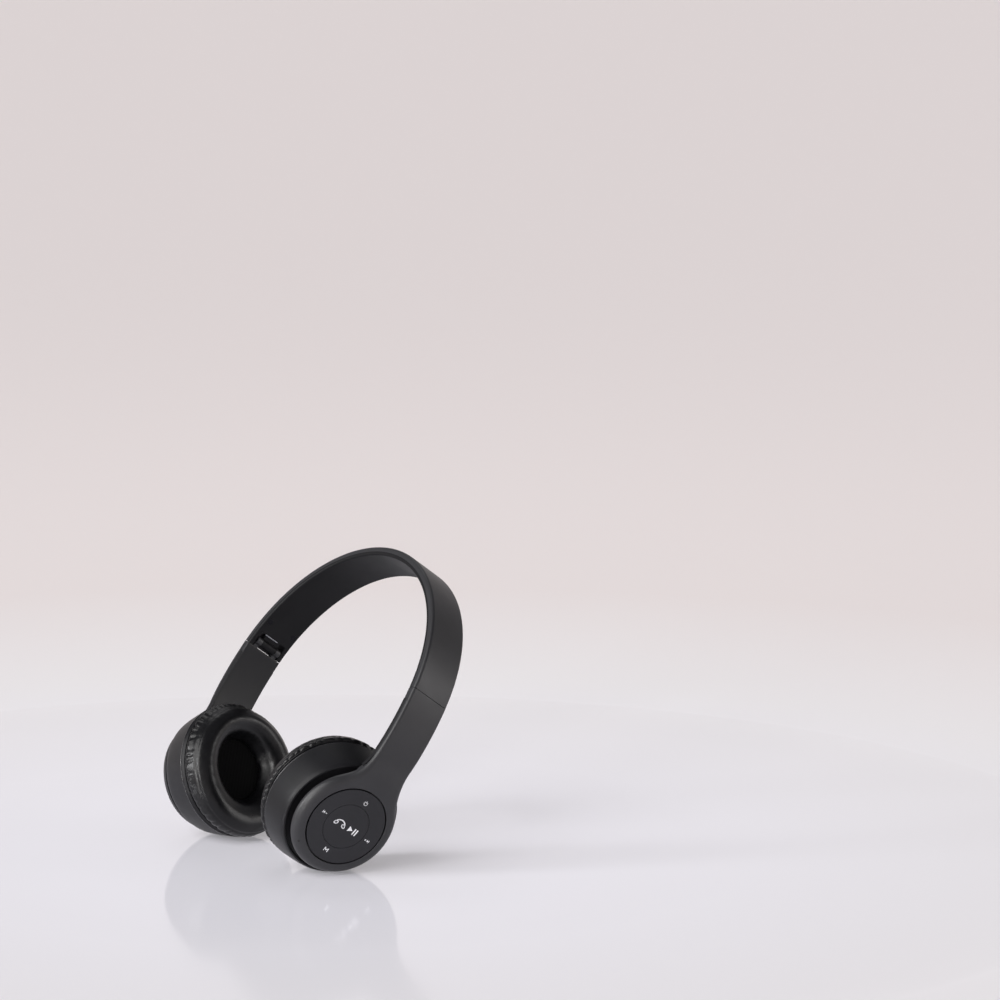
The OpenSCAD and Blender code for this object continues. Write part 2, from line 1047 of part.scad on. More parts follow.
usb_port();
aux_jack();
card_slot();
status_light();
battery();
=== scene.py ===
# Looks for the folding wireless headphones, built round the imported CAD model.
import json
import math

import bmesh
import bpy
import numpy as np
from mathutils import Matrix, Vector


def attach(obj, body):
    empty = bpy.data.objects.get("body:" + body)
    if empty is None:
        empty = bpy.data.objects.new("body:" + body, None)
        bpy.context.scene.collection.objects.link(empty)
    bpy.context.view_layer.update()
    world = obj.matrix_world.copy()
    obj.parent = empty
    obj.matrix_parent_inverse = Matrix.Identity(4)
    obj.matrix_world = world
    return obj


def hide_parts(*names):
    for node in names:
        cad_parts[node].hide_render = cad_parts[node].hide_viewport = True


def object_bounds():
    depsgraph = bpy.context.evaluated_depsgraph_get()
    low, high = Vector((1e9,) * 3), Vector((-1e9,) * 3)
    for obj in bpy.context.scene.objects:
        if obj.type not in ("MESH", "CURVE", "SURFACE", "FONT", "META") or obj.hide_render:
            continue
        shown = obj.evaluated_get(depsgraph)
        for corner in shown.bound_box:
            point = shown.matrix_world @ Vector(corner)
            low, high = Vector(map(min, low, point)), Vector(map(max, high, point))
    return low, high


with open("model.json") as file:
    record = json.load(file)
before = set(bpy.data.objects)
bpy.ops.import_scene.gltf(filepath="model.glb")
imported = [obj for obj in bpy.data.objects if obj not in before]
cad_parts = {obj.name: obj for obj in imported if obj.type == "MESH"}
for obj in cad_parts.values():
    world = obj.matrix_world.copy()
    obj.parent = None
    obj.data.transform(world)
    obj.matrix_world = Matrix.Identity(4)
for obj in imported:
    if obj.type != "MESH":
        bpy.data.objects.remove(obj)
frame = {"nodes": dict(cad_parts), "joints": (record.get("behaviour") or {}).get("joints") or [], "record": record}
cad_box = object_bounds()
nodes = frame["nodes"]
joints = {j["name"]: j for j in frame["joints"]}
SIDES = ("right", "left")
MM = 0.001
TURN = 2 * math.pi

# Shapes shared with the CAD model. Lengths are in mm, depths are below the control plate's plane.
SWIVEL_DEPTH = 12.0
HALF = 23.8 / 2                       # half the width of the band and the arm
SEAM = math.radians(81.2)             # angle round the band from its top to its end
DISC_LEAN = math.radians(21.0)        # how far the disc leans in from upright
ARM_R, ARM_T, ARM_FOOT = 137.0, 4.5, 7.3
ARM_LEN = ARM_FOOT + ARM_R * (math.pi / 2 + DISC_LEAN - (SEAM + 0.3 / ARM_R))
DISC_R, DISC_H, FLAT_R = 27.85, 4.9, 21.9
FLARE_R = 30.0                        # radius on which the arm's sides run out to the disc
FLARE_U = math.sqrt((DISC_R + FLARE_R) ** 2 - (HALF + FLARE_R) ** 2)
POCKET_R, POCKET_LIP, POCKET_DEPTH, POCKET_FLOOR_R = 21.72, 0.18, 2.3, 19.0
RELIEF_FROM, RELIEF_TO, RELIEF_H, RELIEF_STEP = 28.3, 30.2, 4.5, 0.4
LUG_R, LUG_BORE_R, LUG_Y = 2.2, 1.056, (5.1, 8.1)


# ---------------------------------------------------------------- frames taken from the record

def unit(v):
    v = np.asarray(v, float)
    return v / np.linalg.norm(v)


class Cup:
    """Cup frame of one side in mm: z is the depth from the plate to the ear, x runs up the arm."""

    def __init__(self, side):
        turn, tilt = joints["turn_" + side], joints["tilt_" + side]
        self.sign = 1 if side == "right" else -1
        self.x = unit(turn["axis"])
        self.y = unit(tilt["axis"])
        self.z = np.cross(self.x, self.y) * self.sign
        self.o = np.array(turn["pos_m"]) / MM - SWIVEL_DEPTH * self.z

    def at(self, p):
        p = np.asarray(p, float)
        return self.o + p[..., 0:1] * self.x + p[..., 1:2] * self.y + p[..., 2:3] * self.z


CUPS = {side: Cup(side) for side in SIDES}
BAND_O = np.array(joints["slide_out_right"]["pos_m"]) / MM
BAND_Y = unit(joints["slide_out_right"]["axis"])


# ---------------------------------------------------------------- small helpers

def clamp(x):
    return min(max(x, 0.0), 1.0)


def ease(t):
    """A smooth step from 0 to 1 as t goes from 0 to 1."""
    return t * t * (3 - 2 * t)


def round_turn(n):
    return np.linspace(0, TURN, n, endpoint=False)


def arc(cx, cy, rx, ry, start, end, n):
    """n + 1 points on an ellipse, between two angles in degrees."""
    angles = np.radians(np.linspace(start, end, n + 1))
    return [(cx + rx * math.cos(a), cy + ry * math.sin(a)) for a in angles]


def points_of(obj):
    return np.array([v.co for v in obj.data.vertices], float)


def set_points(obj, co):
    obj.data.vertices.foreach_set("co", co.ravel())
    obj.data.update()


def select_only(obj):
    bpy.context.view_layer.objects.active = obj
    bpy.ops.object.select_all(action="DESELECT")
    obj.select_set(True)


def mark_sharp(mesh, degrees):
    """Marks the edges whose faces meet at more than this angle, so that shading breaks there."""
    bm = bmesh.new()
    bm.from_mesh(mesh)
    for e in bm.edges:
        if len(e.link_faces) == 2 and e.calc_face_angle(0) > math.radians(degrees):
            e.smooth = False
    bm.to_mesh(mesh)
    bm.free()


def new_object(name, verts, faces, finish, smooth=True, sharp=None):
    """A mesh object from points in mm, with doubled points merged and its faces turned outward."""
    mesh = bpy.data.meshes.new(name)
    mesh.from_pydata([tuple(float(c) for c in v) for v in np.asarray(verts) * MM], [], faces)
    mesh.update()
    obj = bpy.data.objects.new(name, mesh)
    bpy.context.scene.collection.objects.link(obj)
    bm = bmesh.new()
    bm.from_mesh(mesh)
    bmesh.ops.remove_doubles(bm, verts=bm.verts, dist=0.002 * MM)
    bmesh.ops.recalc_face_normals(bm, faces=bm.faces)
    bm.to_mesh(mesh)
    bm.free()
    for p in mesh.polygons:
        p.use_smooth = smooth
    if sharp is not None:
        mark_sharp(mesh, sharp)
    mesh.materials.append(finish)
    return obj


def grid_faces(rows, cols, start=0, wrap=False):
    """Four-sided faces over a grid of points. With wrap, each row closes on itself."""
    out = []
    for i in range(rows - 1):
        for j in range(cols if wrap else cols - 1):
            k = (j + 1) % cols
            a = start + i * cols
            out.append((a + j, a + k, a + cols + k, a + cols + j))
    return out


def box_faces(start):
    """The six faces of a box whose corners are two loops of four, one at each end."""
    sides = ((0, 1, 2, 3), (7, 6, 5, 4), (0, 4, 5, 1), (1, 5, 6, 2), (2, 6, 7, 3), (3, 7, 4, 0))
    return [tuple(start + i for i in side) for side in sides]


def lathe(cup, profile, n):
    """Revolves a closed loop of (radius, depth) about the cup's axis: points in mm, and faces."""
    angles = round_turn(n)
    loops = [np.stack([r * np.cos(angles), r * np.sin(angles), np.full(n, h)], 1)
             for r, h in profile + profile[:1]]
    return cup.at(np.concatenate(loops)), grid_faces(len(loops), n, wrap=True)


def hoop(name, cup, radius, depth, thick, n, finish):
    """A thin round hoop about the cup's axis; thick is the radius of its section."""
    verts, faces = lathe(cup, arc(radius, depth, thick, thick, 0, 330, 11), n)
    return new_object(name, verts, faces, finish)


# ---------------------------------------------------------------- materials

def material(name, colour, rough, metallic=0.0, specular=0.5):
    m = bpy.data.materials.new(name)
    m.use_nodes = True
    shader = m.node_tree.nodes["Principled BSDF"]
    shader.inputs["Base Color"].default_value = (*colour, 1)
    shader.inputs["Roughness"].default_value = rough
    shader.inputs["Metallic"].default_value = metallic
    shader.inputs["Specular IOR Level"].default_value = specular
    return m


def add_node(m, kind, **settings):
    """A new node in the material. Settings are its inputs, with _ for a space in their names."""
    node = m.node_tree.nodes.new(kind)
    for name, value in settings.items():
        node.inputs[name.replace("_", " ")].default_value = value
    return node


def join(m, out, socket):
    m.node_tree.links.new(out, socket)


def shade(m, out, socket):
    """Links an output to a socket of the material's shader."""
    join(m, out, m.node_tree.nodes["Principled BSDF"].inputs[socket])


def object_coords(m):
    return m.node_tree.nodes.new("ShaderNodeTexCoord").outputs["Object"]


def noise(m, scale, detail, rough=0.5, stretch=None):
    texture = add_node(m, "ShaderNodeTexNoise", Scale=scale, Detail=detail, Roughness=rough)
    source = object_coords(m)
    if stretch is not None:
        mapping = add_node(m, "ShaderNodeMapping", Scale=stretch)
        join(m, source, mapping.inputs["Vector"])
        source = mapping.outputs["Vector"]
    join(m, source, texture.inputs["Vector"])
    return texture.outputs["Fac"]


def cells(m, scale, randomness=1.0):
    texture = add_node(m, "ShaderNodeTexVoronoi", Scale=scale, Randomness=randomness)
    join(m, object_coords(m), texture.inputs["Vector"])
    return texture.outputs["Distance"]


def set_stops(node, stops):
    elements = node.color_ramp.elements
    while len(elements) < len(stops):
        elements.new(0.5)
    for element, (place, colour) in zip(elements, stops):
        element.position = place
        element.color = (*colour, 1)


def ramp(m, value, stops):
    node = add_node(m, "ShaderNodeValToRGB")
    set_stops(node, stops)
    join(m, value, node.inputs["Fac"])
    return node.outputs["Color"]


def span(m, value, low, high):
    """Spreads a value from 0 to 1 over low to high."""
    node = add_node(m, "ShaderNodeMapRange", To_Min=low, To_Max=high)
    join(m, value, node.inputs["Value"])
    return node.outputs["Result"]


def bump(m, height, strength, mm, under=None):
    """Adds relief of this depth in mm on top of the relief under it."""
    node = add_node(m, "ShaderNodeBump", Strength=strength, Distance=mm * MM)
    join(m, height, node.inputs["Height"])
    if under is not None:
        join(m, under, node.inputs["Normal"])
    shade(m, node.outputs["Normal"], "Normal")
    return node.outputs["Normal"]


def soft_touch(name, dark, light, rough_low, rough_high, grain=0.25, specular=0.5):
    """Moulded plastic with a rubbery lacquer: a fine spark grain, cloudy wear and handling marks."""
    m = material(name, light, rough_low, specular=specular)
    shade(m, ramp(m, noise(m, 38, 4), [(0.3, dark), (0.72, light)]), "Base Color")
    shade(m, span(m, noise(m, 60, 5, 0.6), rough_low, rough_high), "Roughness")
    spark = bump(m, noise(m, 2600, 2), grain, 0.04)
    bump(m, noise(m, 160, 2), 0.08, 0.3, under=spark)
    return m


def moulded(name, dark, light, rough_low, rough_high, scale=1800, relief=0.05):
    """Spark-eroded plastic as it leaves the mould."""
    m = material(name, light, rough_low)
    shade(m, ramp(m, noise(m, 90, 3), [(0.3, dark), (0.75, light)]), "Base Color")
    shade(m, span(m, noise(m, 140, 4), rough_low, rough_high), "Roughness")
    bump(m, cells(m, scale), 0.35, relief)
    return m


def leatherette(name, dark, light):
    """Black imitation leather: a fine pebble grain, soft creases and a waxy sheen."""
    m = material(name, light, 0.3, specular=0.32)
    shade(m, ramp(m, noise(m, 70, 4), [(0.3, dark), (0.75, light)]), "Base Color")
    shade(m, span(m, noise(m, 220, 4, 0.6), 0.22, 0.40), "Roughness")
    pebble = bump(m, cells(m, 1900), 0.22, 0.06)
    creases = bump(m, noise(m, 420, 4, 0.6), 0.18, 0.12, under=pebble)
    bump(m, noise(m, 110, 2), 0.25, 0.5, under=creases)
    return m


def brushed(name, dark, light, rough_low, rough_high):
    """Metal with fine streaks along one way."""
    m = material(name, light, rough_low, metallic=1.0)
    streak = noise(m, 900, 2, stretch=(1, 1, 9))
    shade(m, ramp(m, streak, [(0.3, dark), (0.7, light)]), "Base Color")
    shade(m, span(m, noise(m, 300, 3), rough_low, rough_high), "Roughness")
    bump(m, streak, 0.12, 0.03)
    return m


def cloth(name, dark, light):
    """A fine knitted cloth: two sets of ribs that cross."""
    m = material(name, light, 0.95, specular=0.15)
    crossed = add_node(m, "ShaderNodeMath")
    crossed.operation = "MULTIPLY"
    source = object_coords(m)
    for i, turn in enumerate((0.0, math.pi / 2)):
        mapping = add_node(m, "ShaderNodeMapping", Rotation=(0.9, 0.4, turn))
        ribs = add_node(m, "ShaderNodeTexWave", Scale=1400, Distortion=0.6)
        join(m, source, mapping.inputs["Vector"])
        join(m, mapping.outputs["Vector"], ribs.inputs["Vector"])
        join(m, ribs.outputs["Fac"], crossed.inputs[i])
    shade(m, ramp(m, crossed.outputs[0], [(0.05, dark), (0.7, light)]), "Base Color")
    bump(m, crossed.outputs[0], 0.35, 0.04)
    return m


def printed(name, dark, light):
    """Pad-printed ink with slightly uneven cover."""
    m = material(name, light, 0.45)
    shade(m, ramp(m, noise(m, 1500, 3), [(0.3, dark), (0.6, light)]), "Base Color")
    bump(m, noise(m, 2500, 2), 0.1, 0.02)
    return m


def board(name, dark, light):
    """A circuit board's lacquer."""
    m = material(name, light, 0.35)
    shade(m, ramp(m, cells(m, 500, 0.4), [(0.1, light), (0.5, dark)]), "Base Color")
    shade(m, span(m, noise(m, 300, 3), 0.25, 0.45), "Roughness")
    bump(m, cells(m, 700), 0.3, 0.1)
    return m


# Each material's darker and lighter colour, then its lowest and highest roughness
SHELL = soft_touch("soft_touch_black", (0.013, 0.013, 0.015), (0.021, 0.021, 0.024), 0.36, 0.50)
INNER = soft_touch("inner_black", (0.004, 0.004, 0.005), (0.007, 0.007, 0.008), 0.42, 0.58,
                   grain=0.3, specular=0.18)
ARM_INNER = soft_touch("arm_inner_black", (0.006, 0.006, 0.007), (0.009, 0.009, 0.010), 0.36, 0.46,
                       grain=0.15, specular=0.36)
PLATE = soft_touch("plate_black", (0.008, 0.008, 0.010), (0.012, 0.012, 0.015), 0.38, 0.48,
                   grain=0.2, specular=0.4)
HOUSING = soft_touch("housing_black", (0.007, 0.007, 0.008), (0.012, 0.012, 0.014), 0.34, 0.46,
                     specular=0.22)
# painted shade: a near-black finish that stands for the dark inside of the microphone's pin hole
HOLE_SHADE = moulded("painted_hole_shade", (0.003, 0.003, 0.003), (0.006, 0.006, 0.006), 0.6, 0.8)
NYLON = moulded("nylon_dark", (0.010, 0.010, 0.011), (0.018, 0.018, 0.020), 0.42, 0.6)
BEAD = soft_touch("bead_black", (0.012, 0.012, 0.014), (0.02, 0.02, 0.023), 0.14, 0.22,
                  grain=0.05, specular=0.7)
LEATHER = leatherette("leatherette_black", (0.002, 0.002, 0.0025), (0.006, 0.006, 0.007))
SCREW = brushed("screw_black", (0.012, 0.012, 0.014), (0.03, 0.03, 0.034), 0.4, 0.55)
STEEL = brushed("steel_plain", (0.42, 0.43, 0.45), (0.62, 0.63, 0.65), 0.25, 0.4)
PORT = brushed("port_shell", (0.38, 0.39, 0.41), (0.55, 0.56, 0.58), 0.22, 0.34)
SCRIM = cloth("scrim_black", (0.001, 0.001, 0.001), (0.004, 0.004, 0.0045))
FOAM = moulded("foam_grey", (0.16, 0.16, 0.17), (0.30, 0.30, 0.31), 0.9, 1.0, scale=900, relief=0.4)
WIRE = moulded("wire_rubber", (0.05, 0.05, 0.055), (0.10, 0.10, 0.11), 0.5, 0.65)
BOARD = board("board_green", (0.015, 0.09, 0.04), (0.03, 0.16, 0.07))
CONE = moulded("cone_film", (0.35, 0.31, 0.24), (0.50, 0.45, 0.36), 0.4, 0.55)
LIGHT = moulded("light_pipe", (0.62, 0.65, 0.70), (0.80, 0.82, 0.85), 0.15, 0.25)
CELL = brushed("cell_foil", (0.45, 0.46, 0.50), (0.60, 0.61, 0.65), 0.3, 0.45)
INK = printed("printed_white", (0.66, 0.67, 0.69), (0.86, 0.87, 0.89))

BY_SLOT = {
    "shell": SHELL, "cover": INNER, "control": PLATE, "housing": HOUSING, "leather": LEATHER,
    "foam": FOAM, "scrim": SCRIM, "steel": STEEL, "screw": SCREW, "wire": WIRE, "board": BOARD,
    "port": PORT, "frame": NYLON, "cone": CONE, "light": LIGHT, "cell": CELL,
}
for part in frame["record"]["subparts"]:
    finishes = nodes[part["node"]].data.materials
    finishes.clear()
    finishes.append(BY_SLOT[part["material_slot"]])
for side in SIDES:
    nodes["hinge_pin_" + side].data.materials[0] = SCREW
    nodes["arm_cover_" + side].data.materials[0] = ARM_INNER


# ---------------------------------------------------------------- arms

# A point on the arm is (u, y, d): u along its outer surface from the disc's centre, y across it,
# d below the surface. The surface is flat to FLAT_U and on the arm's circle from CURVE_U.
FLAT_U, CURVE_U = 22.5, 40.0


def circle_at(u):
    """Angle and depth of the arm's circle at a distance u up the arm."""
    a = max(u - ARM_FOOT, 0.0) / ARM_R
    return a, ARM_R * (1 - math.cos(a))


def arm_local(u, y, d):
    """A point on the arm in the cup's frame."""
    lean, surface = circle_at(u)
    along = min(u, ARM_FOOT) + ARM_R * math.sin(lean)
    if u <= FLAT_U:
        lean, surface = 0.0, 0.0
    elif u < CURVE_U:
        # a cubic from the flat to the circle, level at one end and tangent at the other
        end_lean, end_depth = circle_at(CURVE_U)
        reach, slope = CURVE_U - FLAT_U, math.tan(end_lean)
        t = (u - FLAT_U) / reach
        surface = ease(t) * end_depth + t * t * (t - 1) * slope * reach
        lean = math.atan((6 * t - 6 * t * t) * end_depth / reach + (3 * t * t - 2 * t) * slope)
    return np.array([along - d * math.sin(lean), y, surface + d * math.cos(lean)])


def room(p):
    """How deep the arm may be at this point, so that the housing's rim clears it as the cup tilts."""
    r = math.hypot(p[0], p[1])
    slope = 2.0
    step = RELIEF_STEP * clamp((RELIEF_FROM - r) / RELIEF_STEP)
    return RELIEF_H + step + slope * max(r - RELIEF_TO, 0.0)


def edge_path():
    """The arm's edge from the seam, round the disc and back to the seam, as (u, y, outward normal,
    share of the disc's bevel)."""
    bevel_from, bevel_to = 4.0, FLARE_U + 10.0
    meet = math.atan2(HALF + FLARE_R, FLARE_U)
    straight = np.linspace(ARM_LEN, FLARE_U, 26)

    def flare(a, way):
        c, s = math.cos(a), math.sin(a)
        return FLARE_U + FLARE_R * c, way * (HALF + FLARE_R) + FLARE_R * s, (-c, -s)

    def disc(a):
        c, s = math.cos(a), math.sin(a)
        return DISC_R * c, DISC_R * s, (c, s)

    edge = [(u, -HALF, (0, -1)) for u in straight[:-1]]
    edge += [flare(a, -1) for a in np.linspace(math.pi / 2, math.pi - meet, 22)[:-1]]
    edge += [disc(a) for a in np.linspace(-meet, meet - TURN, 150)[:-1]]
    edge += [flare(a, 1) for a in np.linspace(meet - math.pi, -math.pi / 2, 22)[:-1]]
    edge += [(u, HALF, (0, 1)) for u in straight[::-1]]
    return [(u, y, normal, 1 - ease(clamp((u - bevel_from) / (bevel_to - bevel_from))))
            for u, y, normal in edge]


ROLL_STEPS = 12


def edge_row(u, y, normal, disc):
    """The rolled edge at one place: in from the top, round to the side, down, and in along the foot.
    disc is how much of the disc's wide bevel it has, from 0, the arm's small roll, to 1."""
    roll, bevel_deep, arm_foot, foot_in, least_wall = 1.5, 4.6, 2.35, 1.6, 0.05
    inset = roll + (DISC_R - FLAT_R - roll) * disc
    deep = roll + (bevel_deep - roll) * disc
    near_disc = clamp((34.6 - math.hypot(u, y)) / 1.2)
    foot = max(arm_foot + (DISC_H - least_wall - arm_foot) * near_disc, deep + least_wall)
    row = []
    for a in np.radians(np.linspace(0, 90, ROLL_STEPS + 1)):
        off = inset * (1 - math.sin(a))
        row.append((u - normal[0] * off, y - normal[1] * off, deep * (1 - math.cos(a))))
    row.append((u, y, foot))
    row.append((u - normal[0] * foot_in, y - normal[1] * foot_in, foot))
    return row


def across(a, b):
    """Points from one edge of the arm to the other, at the first one's depth."""
    return [(a[0] + (b[0] - a[0]) * t, a[1] + (b[1] - a[1]) * t, a[2]) for t in np.linspace(0, 1, 13)]


def at_radius(p, r, d):
    """The point at this radius and depth on the line from the disc's centre through p."""
    q = math.hypot(p[0], p[1])
    return p[0] / q * r, p[1] / q * r, d


def arm_visual(side):
    """The arm's outer side in one surface, from the seam to the pocket of the control plate."""
    cup = CUPS[side]
    verts, faces = [], []

    def add_grid(grid, wrap=False):
        faces.extend(grid_faces(len(grid), len(grid[0]), len(verts), wrap))
        verts.extend(cup.at(arm_local(*p)) for row in grid for p in row)

    rows = [edge_row(*station) for station in edge_path()]
    faces += grid_faces(len(rows), len(rows[0]))
    for row in rows:
        for k, point in enumerate(row):
            p = arm_local(*point)
            if k > ROLL_STEPS:
                p[2] = min(p[2], room(p))
            verts.append(cup.at(p))

    # the top of the arm, as far as the cut above the pocket
    cut_u = 38.0
    top_edge = [row[0] for row in rows]
    cut = min(range(len(top_edge) // 2), key=lambda i: abs(top_edge[i][0] - cut_u))
    strip = [across(top_edge[i], top_edge[-1 - i]) for i in range(cut + 1)]
    add_grid(strip)
    # the top round the pocket, then the pocket's rounded lip, its wall and its floor
    loop = top_edge[cut:len(top_edge) - cut] + strip[-1][-2:0:-1]
    mouth = POCKET_R + POCKET_LIP
    rim = [at_radius(p, mouth, 0.0) for p in loop]
    add_grid([[(a[0] + (b[0] - a[0]) * t, a[1] + (b[1] - a[1]) * t, 0.0) for a, b in zip(rim, loop)]
              for t in np.linspace(0, 1, 15)], wrap=True)
    lip = [(mouth, 0.0), (POCKET_R + 0.09, 0.02), (POCKET_R + 0.02, 0.09), (POCKET_R, 0.2),
           (POCKET_R, POCKET_DEPTH), (POCKET_FLOOR_R, POCKET_DEPTH)]
    add_grid([[at_radius(p, r, d) for p in loop] for r, d in lip], wrap=True)
    # the end at the seam
    add_grid([across(a, b) for a, b in zip(rows[0], rows[-1])])
    obj = new_object("arm_outer_" + side, verts, faces, SHELL, sharp=38)
    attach(obj, "arm_" + side)
    return obj


def arm_root(side):
    """The arm's end block behind the seam, with the tongues and ribs that cross the seam."""
    cup = CUPS[side]
    # from and to in u past the arm's end, in y and in depth
    blocks = [(-6.0, 0.0, -HALF + 0.1, HALF - 0.1, 1.3, ARM_T)]
    blocks += [(-1.0, 0.4, y0, y1, 1.45, 2.2) for y0, y1 in ((-10.2, -5.1), (5.1, 10.2))]
    blocks += [(-0.3, 0.22, y0, y1, 1.1, 3.2) for y0, y1 in ((-10.9, -5.1), (5.1, 10.9))]
    verts, faces = [], []
    for u0, u1, y0, y1, d0, d1 in blocks:
        faces += box_faces(len(verts))
        for u in (u0, u1):
            for y, d in ((y0, d0), (y1, d0), (y1, d1), (y0, d1)):
                verts.append(cup.at(arm_local(ARM_LEN + u, y, d)))
    obj = new_object("arm_root_" + side, verts, faces, SHELL, smooth=False)
    bevel = obj.modifiers.new("round", "BEVEL")
    bevel.width = 0.4 * MM
    bevel.segments = 3
    select_only(obj)
    bpy.ops.object.modifier_apply(modifier="round")
    return obj


def arm_lugs(side):
    """The two lugs round the fold pin, each a ring and the stem that carries it on the arm."""
    pin = np.array(joints["fold_" + side]["pos_m"]) / MM
    out = unit(np.cross(np.cross(BAND_Y, pin - BAND_O), BAND_Y))
    along = unit(np.cross(BAND_Y, out)) * CUPS[side].sign
    n = 40
    circle = [(math.cos(a), math.sin(a)) for a in round_turn(n)]
    stem = ((-0.5, 4.3), (2.05, 4.3), (2.05, 0.0), (-0.5, 0.0))
    verts, faces = [], []
    for way in (-1, 1):
        start = len(verts)
        for y in LUG_Y:
            for r in (LUG_BORE_R, LUG_R):
                verts += [pin + BAND_Y * (way * y) + out * (r * a) + along * (r * b) for a, b in circle]
        # the two ends, the outside and the bore, each between two of the four circles
        for first, second in ((0, 1), (2, 3), (1, 3), (0, 2)):
            a, b = start + first * n, start + second * n
            faces += [(a + j, a + (j + 1) % n, b + (j + 1) % n, b + j) for j in range(n)]
        faces += box_faces(len(verts))
        for y in LUG_Y:
            verts += [pin + BAND_Y * (way * y) + out * a + along * b for a, b in stem]
    return new_object("arm_lugs_" + side, verts, faces, SHELL, sharp=30)


def arm_skin(side):
    """The smooth inner face of the arm, one thin panel from the disc to the seam."""
    cup = CUPS[side]
    thick, edge, rim, skirt = 0.3, 0.25, 0.25, -0.4
    blend_from, blend_over, blend_rise = 38.0, 4.0, 0.42
    # places along the arm, and how far the panel's face is sunk there
    stations = [(25.2, 0.5), (25.8, 0.1)]
    stations += [(u, 0.0) for u in np.linspace(26.4, 34.0, 26)]
    stations += [(u, 0.0) for u in np.linspace(34.6, ARM_LEN - 0.4, 50)]
    stations += [(ARM_LEN - 0.08, 0.15)]
    verts = []
    for u, sink in stations:
        into = max(FLARE_U - u, 0.0)
        wide = HALF + FLARE_R - math.sqrt(FLARE_R ** 2 - into ** 2) - rim
        sink -= blend_rise * ease(clamp((blend_from - u) / blend_over))
        half = [(-wide, skirt), (-wide, thick - edge)]
        half += [(-wide + edge * (1 - math.cos(a)), thick - edge * (1 - math.sin(a)))
                 for a in (0.3, 0.72, 1.15, 1.57)]
        section = half + [(y, thick) for y in np.linspace(1 - wide, wide - 1, 21)]
        section += [(-y, d) for y, d in reversed(half)]
        for y, d in section:
            face = arm_local(u, y, ARM_T + thick - sink)
            p = arm_local(u, y, ARM_T + d - sink)
            p[2] -= max(0.0, face[2] - room(face))
            verts.append(cup.at(p))
    n, rows = len(section), len(stations)
    faces = grid_faces(rows, n) + [tuple(range(n)), tuple(range((rows - 1) * n, rows * n))]
    obj = new_object("arm_inner_face_" + side, verts, faces, ARM_INNER, sharp=50)
    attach(obj, "arm_" + side)


def mic_port():
    """The pin hole in front of the microphone, in the disc's bevel: a raised lip round a flat disc of painted
    shade, with no hole cut into the surface.
    """
    cup = CUPS["right"]
    place, radius, depth = math.radians(218), 25.2, 0.77
    out = cup.x * math.cos(place) + cup.y * math.sin(place)
    normal = unit(0.458 * out - 0.889 * cup.z)
    around = np.cross(cup.z, out)
    slope = np.cross(around, normal)
    mid = cup.o + out * radius + cup.z * depth
    # radius and height of the raised lip's circles, from outside to the hole's middle
    circles = ((0.78, -0.02), (0.72, 0.04), (0.62, 0.05), (0.56, 0.03), (0.02, 0.03))
    n, hole_r = 32, 0.64
    verts = [mid + normal * lift + (around * math.cos(a) + slope * math.sin(a)) * r
             for r, lift in circles for a in round_turn(n)]
    obj = new_object("mic_port", verts, grid_faces(len(circles), n, wrap=True), SHELL)
    # the hole's middle is a flat disc in painted shade, not a cut hole
    obj.data.materials.append(HOLE_SHADE)
    in_painted_shade = np.linalg.norm(points_of(obj) / MM - mid, axis=1) < hole_r
    for p in obj.data.polygons:
        p.material_index = 1 if all(in_painted_shade[i] for i in p.vertices) else 0
    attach(obj, "arm_right")


mic_port()
for side in SIDES:
    arm_skin(side)
    outer = arm_visual(side)
    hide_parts("arm_shell_" + side)
    root, lugs = arm_root(side), arm_lugs(side)
    lugs.parent = root
    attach(root, "arm_" + side)


# ---------------------------------------------------------------- printed signs

def flat_sign(name, polys, centre, body):
    """Thin printed shapes on the plate. Their x runs across (the band's Y), their y up the arm."""
    ink_depths = (-0.02, 0.04)
    verts, faces = [], []
    for poly in polys:
        start, n = len(verts), len(poly)
        for d in ink_depths:
            verts += [CUPS["right"].at((centre[1] + y, centre[0] + x, d)) for x, y in poly]
        faces.append(tuple(range(start, start + n)))
        faces.append(tuple(range(start + 2 * n - 1, start + n - 1, -1)))
        faces += grid_faces(2, n, start, wrap=True)
    obj = new_object(name, verts, faces, INK, smooth=False)
    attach(obj, body)


def stroke(points, width, closed=False):
    """A ribbon round a line, as four-sided pieces that lap a little where they meet."""
    pts = [np.array(p, float) for p in points]
    if closed:
        pts.append(pts[0])
    out = []
    for a, b in zip(pts[:-1], pts[1:]):
        along = (b - a) / np.linalg.norm(b - a)
        half = np.array([-along[1], along[0]]) * width / 2
        lap = along * width * 0.15
        out.append([a - lap - half, b + lap - half, b + lap + half, a - lap + half])
    return out


def bar(x, tall, width):
    return stroke([(x, -tall), (x, tall)], width)


